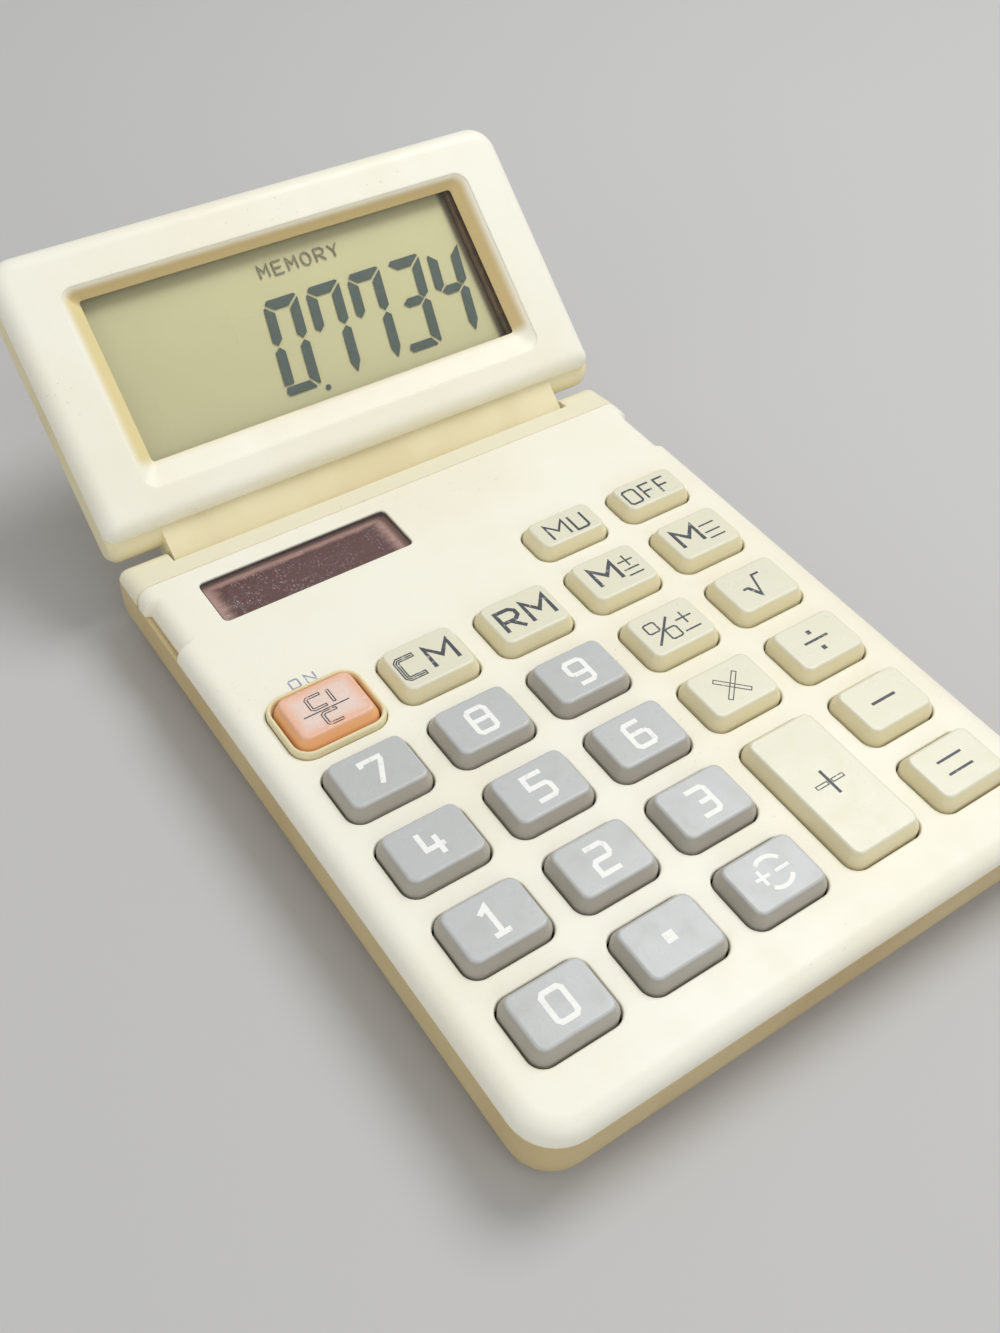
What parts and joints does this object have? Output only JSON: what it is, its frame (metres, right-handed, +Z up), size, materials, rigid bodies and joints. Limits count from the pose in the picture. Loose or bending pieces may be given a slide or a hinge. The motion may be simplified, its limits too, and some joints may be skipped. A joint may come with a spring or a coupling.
{
  "type": "desk calculator",
  "caption": "Solar desk calculator with a raised keypad in a flat cream body and a wide display that tilts up on a friction hinge behind it.",
  "frame": {"origin": "on the table, in the middle of the width and of the length with the display tilted as in the picture", "axes": "+X to the right, +Y from the front edge to the display, +Z up from the table"},
  "size_m": [0.098, 0.1632, 0.0487],
  "materials": {
    "cover_cream": "satin moulded plastic, a little aged",
    "case_beige": "satin moulded plastic",
    "key_cream": "satin moulded plastic, worn tops",
    "key_grey": "satin moulded plastic, worn tops",
    "key_orange": "satin moulded plastic, worn top",
    "clear_plastic": "clear pane, lightly scratched",
    "solar_film": "dark amorphous cell",
    "wire_insulation": "coloured wire",
    "mat_rubber": "moulded silicone rubber",
    "board_green": "lacquered board",
    "chip_black": "moulded chip",
    "capacitor_sleeve": "printed sleeve",
    "socket_ivory": "moulded socket",
    "steel": "plated steel",
    "ribbon_film": "film cable",
    "foot_rubber": "moulded rubber",
    "lcd_glass": "polarised glass",
    "lcd_back": "silvery film",
    "frame_dark": "moulded frame",
    "connector_rubber": "layered contact rubber"
  },
  "bodies": {
    "base": {"top_cover": "cover_cream", "bottom_case": "case_beige", "clear_key_ring": "case_beige", "solar_window": "clear_plastic", "solar_cell": "solar_film", "solar_leads": "wire_insulation", "keypad_mat": "mat_rubber", "main_board": "board_green", "controller_chip": "chip_black", "capacitors": "capacitor_sleeve", "ribbon_socket": "socket_ivory", "button_cell": "steel", "battery_contacts": "steel", "body_ribbon": "ribbon_film", "hinge_pins": "steel", "hinge_washers": "steel", "case_screws": "steel", "board_screws": "steel", "rubber_feet": "foot_rubber"},
    "display": {"display_bezel": "cover_cream", "display_rear_shell": "case_beige", "display_window": "clear_plastic", "lcd_glass": "lcd_glass", "lcd_reflector": "lcd_back", "lcd_frame": "frame_dark", "lcd_connectors": "connector_rubber", "display_board": "board_green", "display_ribbon": "ribbon_film", "display_screws": "steel"},
    "key_0": {"key_0": "key_grey"},
    "key_1": {"key_1": "key_grey"},
    "key_2": {"key_2": "key_grey"},
    "key_3": {"key_3": "key_grey"},
    "key_4": {"key_4": "key_grey"},
    "key_5": {"key_5": "key_grey"},
    "key_6": {"key_6": "key_grey"},
    "key_7": {"key_7": "key_grey"},
    "key_8": {"key_8": "key_grey"},
    "key_9": {"key_9": "key_grey"},
    "key_point": {"key_point": "key_grey"},
    "key_sign": {"key_sign": "key_grey"},
    "key_equals": {"key_equals": "key_cream"},
    "key_plus": {"key_plus": "key_cream"},
    "key_minus": {"key_minus": "key_cream"},
    "key_multiply": {"key_multiply": "key_cream"},
    "key_divide": {"key_divide": "key_cream"},
    "key_percent": {"key_percent": "key_cream"},
    "key_root": {"key_root": "key_cream"},
    "key_memory_clear": {"key_memory_clear": "key_cream"},
    "key_memory_recall": {"key_memory_recall": "key_cream"},
    "key_memory_plus": {"key_memory_plus": "key_cream"},
    "key_memory_minus": {"key_memory_minus": "key_cream"},
    "key_markup": {"key_markup": "key_cream"},
    "key_off": {"key_off": "key_cream"},
    "key_clear": {"key_clear": "key_orange"}
  },
  "joints": [
    {"name": "display_tilt", "type": "hinge", "parent": "base", "child": "display", "pos_m": [0, 0.0346, 0.009], "axis": [1, 0, 0], "range_deg": [-39, 12]},
    {"name": "press_0", "type": "slide", "parent": "base", "child": "key_0", "axis": [0, 0, 1], "range_m": [-0.0012, 0], "stiffness_N_per_m": 400, "springref_m": 0.0003, "deforming": ["keypad_mat"]},
    {"name": "press_1", "type": "slide", "parent": "base", "child": "key_1", "axis": [0, 0, 1], "range_m": [-0.0012, 0], "stiffness_N_per_m": 400, "springref_m": 0.0003, "deforming": ["keypad_mat"]},
    {"name": "press_2", "type": "slide", "parent": "base", "child": "key_2", "axis": [0, 0, 1], "range_m": [-0.0012, 0], "stiffness_N_per_m": 400, "springref_m": 0.0003, "deforming": ["keypad_mat"]},
    {"name": "press_3", "type": "slide", "parent": "base", "child": "key_3", "axis": [0, 0, 1], "range_m": [-0.0012, 0], "stiffness_N_per_m": 400, "springref_m": 0.0003, "deforming": ["keypad_mat"]},
    {"name": "press_4", "type": "slide", "parent": "base", "child": "key_4", "axis": [0, 0, 1], "range_m": [-0.0012, 0], "stiffness_N_per_m": 400, "springref_m": 0.0003, "deforming": ["keypad_mat"]},
    {"name": "press_5", "type": "slide", "parent": "base", "child": "key_5", "axis": [0, 0, 1], "range_m": [-0.0012, 0], "stiffness_N_per_m": 400, "springref_m": 0.0003, "deforming": ["keypad_mat"]},
    {"name": "press_6", "type": "slide", "parent": "base", "child": "key_6", "axis": [0, 0, 1], "range_m": [-0.0012, 0], "stiffness_N_per_m": 400, "springref_m": 0.0003, "deforming": ["keypad_mat"]},
    {"name": "press_7", "type": "slide", "parent": "base", "child": "key_7", "axis": [0, 0, 1], "range_m": [-0.0012, 0], "stiffness_N_per_m": 400, "springref_m": 0.0003, "deforming": ["keypad_mat"]},
    {"name": "press_8", "type": "slide", "parent": "base", "child": "key_8", "axis": [0, 0, 1], "range_m": [-0.0012, 0], "stiffness_N_per_m": 400, "springref_m": 0.0003, "deforming": ["keypad_mat"]},
    {"name": "press_9", "type": "slide", "parent": "base", "child": "key_9", "axis": [0, 0, 1], "range_m": [-0.0012, 0], "stiffness_N_per_m": 400, "springref_m": 0.0003, "deforming": ["keypad_mat"]},
    {"name": "press_point", "type": "slide", "parent": "base", "child": "key_point", "axis": [0, 0, 1], "range_m": [-0.0012, 0], "stiffness_N_per_m": 400, "springref_m": 0.0003, "deforming": ["keypad_mat"]},
    {"name": "press_sign", "type": "slide", "parent": "base", "child": "key_sign", "axis": [0, 0, 1], "range_m": [-0.0012, 0], "stiffness_N_per_m": 400, "springref_m": 0.0003, "deforming": ["keypad_mat"]},
    {"name": "press_equals", "type": "slide", "parent": "base", "child": "key_equals", "axis": [0, 0, 1], "range_m": [-0.0012, 0], "stiffness_N_per_m": 400, "springref_m": 0.0003, "deforming": ["keypad_mat"]},
    {"name": "press_plus", "type": "slide", "parent": "base", "child": "key_plus", "axis": [0, 0, 1], "range_m": [-0.0012, 0], "stiffness_N_per_m": 400, "springref_m": 0.0003, "deforming": ["keypad_mat"]},
    {"name": "press_minus", "type": "slide", "parent": "base", "child": "key_minus", "axis": [0, 0, 1], "range_m": [-0.0012, 0], "stiffness_N_per_m": 400, "springref_m": 0.0003, "deforming": ["keypad_mat"]},
    {"name": "press_multiply", "type": "slide", "parent": "base", "child": "key_multiply", "axis": [0, 0, 1], "range_m": [-0.0012, 0], "stiffness_N_per_m": 400, "springref_m": 0.0003, "deforming": ["keypad_mat"]},
    {"name": "press_divide", "type": "slide", "parent": "base", "child": "key_divide", "axis": [0, 0, 1], "range_m": [-0.0012, 0], "stiffness_N_per_m": 400, "springref_m": 0.0003, "deforming": ["keypad_mat"]},
    {"name": "press_percent", "type": "slide", "parent": "base", "child": "key_percent", "axis": [0, 0, 1], "range_m": [-0.0012, 0], "stiffness_N_per_m": 400, "springref_m": 0.0003, "deforming": ["keypad_mat"]},
    {"name": "press_root", "type": "slide", "parent": "base", "child": "key_root", "axis": [0, 0, 1], "range_m": [-0.0012, 0], "stiffness_N_per_m": 400, "springref_m": 0.0003, "deforming": ["keypad_mat"]},
    {"name": "press_memory_clear", "type": "slide", "parent": "base", "child": "key_memory_clear", "axis": [0, 0, 1], "range_m": [-0.0012, 0], "stiffness_N_per_m": 400, "springref_m": 0.0003, "deforming": ["keypad_mat"]},
    {"name": "press_memory_recall", "type": "slide", "parent": "base", "child": "key_memory_recall", "axis": [0, 0, 1], "range_m": [-0.0012, 0], "stiffness_N_per_m": 400, "springref_m": 0.0003, "deforming": ["keypad_mat"]},
    {"name": "press_memory_plus", "type": "slide", "parent": "base", "child": "key_memory_plus", "axis": [0, 0, 1], "range_m": [-0.0012, 0], "stiffness_N_per_m": 400, "springref_m": 0.0003, "deforming": ["keypad_mat"]},
    {"name": "press_memory_minus", "type": "slide", "parent": "base", "child": "key_memory_minus", "axis": [0, 0, 1], "range_m": [-0.0012, 0], "stiffness_N_per_m": 400, "springref_m": 0.0003, "deforming": ["keypad_mat"]},
    {"name": "press_markup", "type": "slide", "parent": "base", "child": "key_markup", "axis": [0, 0, 1], "range_m": [-0.0012, 0], "stiffness_N_per_m": 400, "springref_m": 0.0003, "deforming": ["keypad_mat"]},
    {"name": "press_off", "type": "slide", "parent": "base", "child": "key_off", "axis": [0, 0, 1], "range_m": [-0.0012, 0], "stiffness_N_per_m": 400, "springref_m": 0.0003, "deforming": ["keypad_mat"]},
    {"name": "press_clear", "type": "slide", "parent": "base", "child": "key_clear", "axis": [0, 0, 1], "range_m": [-0.0012, 0], "stiffness_N_per_m": 400, "springref_m": 0.0003, "deforming": ["keypad_mat"]}
  ]
}
